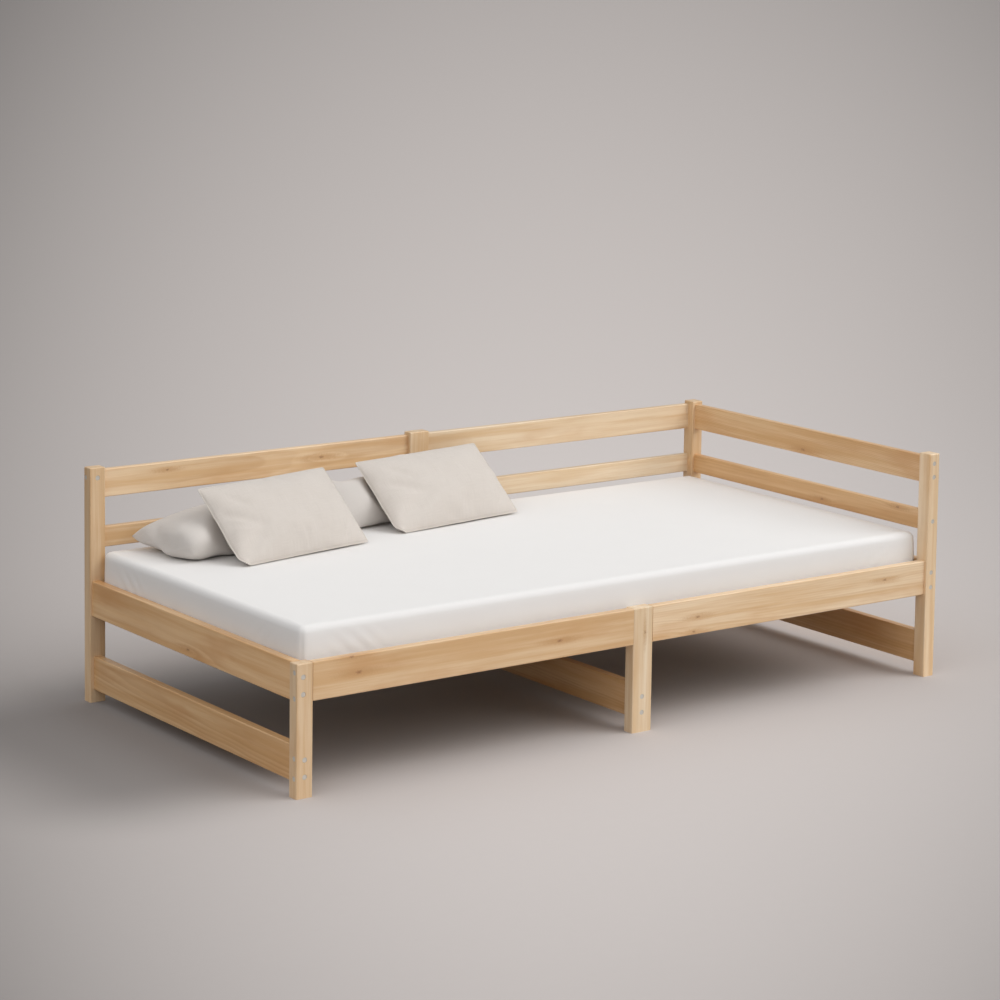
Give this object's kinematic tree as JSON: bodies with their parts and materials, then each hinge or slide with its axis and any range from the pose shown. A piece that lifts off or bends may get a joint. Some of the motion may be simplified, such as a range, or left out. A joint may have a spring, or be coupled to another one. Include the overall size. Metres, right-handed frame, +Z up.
{
  "type": "daybed",
  "caption": "Low slatted pine daybed with a railed back and one railed arm, a sheeted mattress, bed pillows and lumbar cushions.",
  "frame": {"origin": "centre of the bed's footprint on the floor", "axes": "+X along the bed towards the railed arm end, -Y the open front, +Y the railed back, +Z up"},
  "size_m": [2.075, 1.078, 0.63],
  "materials": {
    "pine": "pale satin-lacquered pine",
    "slat_pine": "planed, unfinished pine",
    "beech": "plain fluted dowel",
    "bolt_steel": "dull zinc-plated socket heads",
    "zinc_steel": "zinc plated",
    "grey_cap": "matt grey",
    "mattress_cover": "knitted ticking",
    "white_sheet": "plain percale",
    "pillow_cotton": "washed cotton",
    "cushion_linen": "plain linen weave"
  },
  "bodies": {
    "frame": {"arm_lower_rail": "pine", "arm_upper_rail": "pine", "back_bed_rail_left": "pine", "back_bed_rail_right": "pine", "back_lower_rail_left": "pine", "back_lower_rail_right": "pine", "back_upper_rail_left": "pine", "back_upper_rail_right": "pine", "barrel_nuts_left": "zinc_steel", "barrel_nuts_middle": "zinc_steel", "barrel_nuts_right": "zinc_steel", "batten_back_left": "slat_pine", "batten_back_right": "slat_pine", "batten_front_left": "slat_pine", "batten_front_right": "slat_pine", "batten_screws": "zinc_steel", "bolts_left": "bolt_steel", "bolts_middle": "bolt_steel", "bolts_right": "bolt_steel", "cover_caps": "grey_cap", "dowels": "beech", "front_rail_left": "pine", "front_rail_right": "pine", "left_end_rail": "pine", "left_stretcher": "pine", "middle_cross_bar": "slat_pine", "middle_stretcher": "pine", "post_back_left": "pine", "post_back_middle": "pine", "post_back_right": "pine", "post_front_left": "pine", "post_front_middle": "pine", "post_front_right": "pine", "right_end_rail": "pine", "right_stretcher": "pine", "slat_01": "slat_pine", "slat_02": "slat_pine", "slat_03": "slat_pine", "slat_04": "slat_pine", "slat_05": "slat_pine", "slat_06": "slat_pine", "slat_07": "slat_pine", "slat_08": "slat_pine", "slat_09": "slat_pine", "slat_10": "slat_pine", "slat_11": "slat_pine", "slat_12": "slat_pine", "slat_13": "slat_pine", "slat_14": "slat_pine", "slat_screws": "zinc_steel", "studs": "zinc_steel"},
    "mattress_body": {"mattress": "mattress_cover", "fitted_sheet": "white_sheet"},
    "pillow_left_body": {"pillow_left": "pillow_cotton"},
    "pillow_right_body": {"pillow_right": "pillow_cotton"},
    "cushion_left_body": {"cushion_left": "cushion_linen"},
    "cushion_right_body": {"cushion_right": "cushion_linen"}
  },
  "joints": [
    {"name": "mattress_lift", "type": "slide", "parent": "frame", "child": "mattress_body", "axis": [0, 0, 1], "range_m": [0, 0.45]},
    {"name": "pillow_left_lift", "type": "slide", "parent": "mattress_body", "child": "pillow_left_body", "axis": [0, 0, 1], "range_m": [0, 0.3]},
    {"name": "pillow_right_lift", "type": "slide", "parent": "mattress_body", "child": "pillow_right_body", "axis": [0, 0, 1], "range_m": [0, 0.3]},
    {"name": "cushion_left_lift", "type": "slide", "parent": "pillow_left_body", "child": "cushion_left_body", "axis": [0, 0, 1], "range_m": [0, 0.3]},
    {"name": "cushion_right_lift", "type": "slide", "parent": "pillow_right_body", "child": "cushion_right_body", "axis": [0, 0, 1], "range_m": [0, 0.3]}
  ]
}
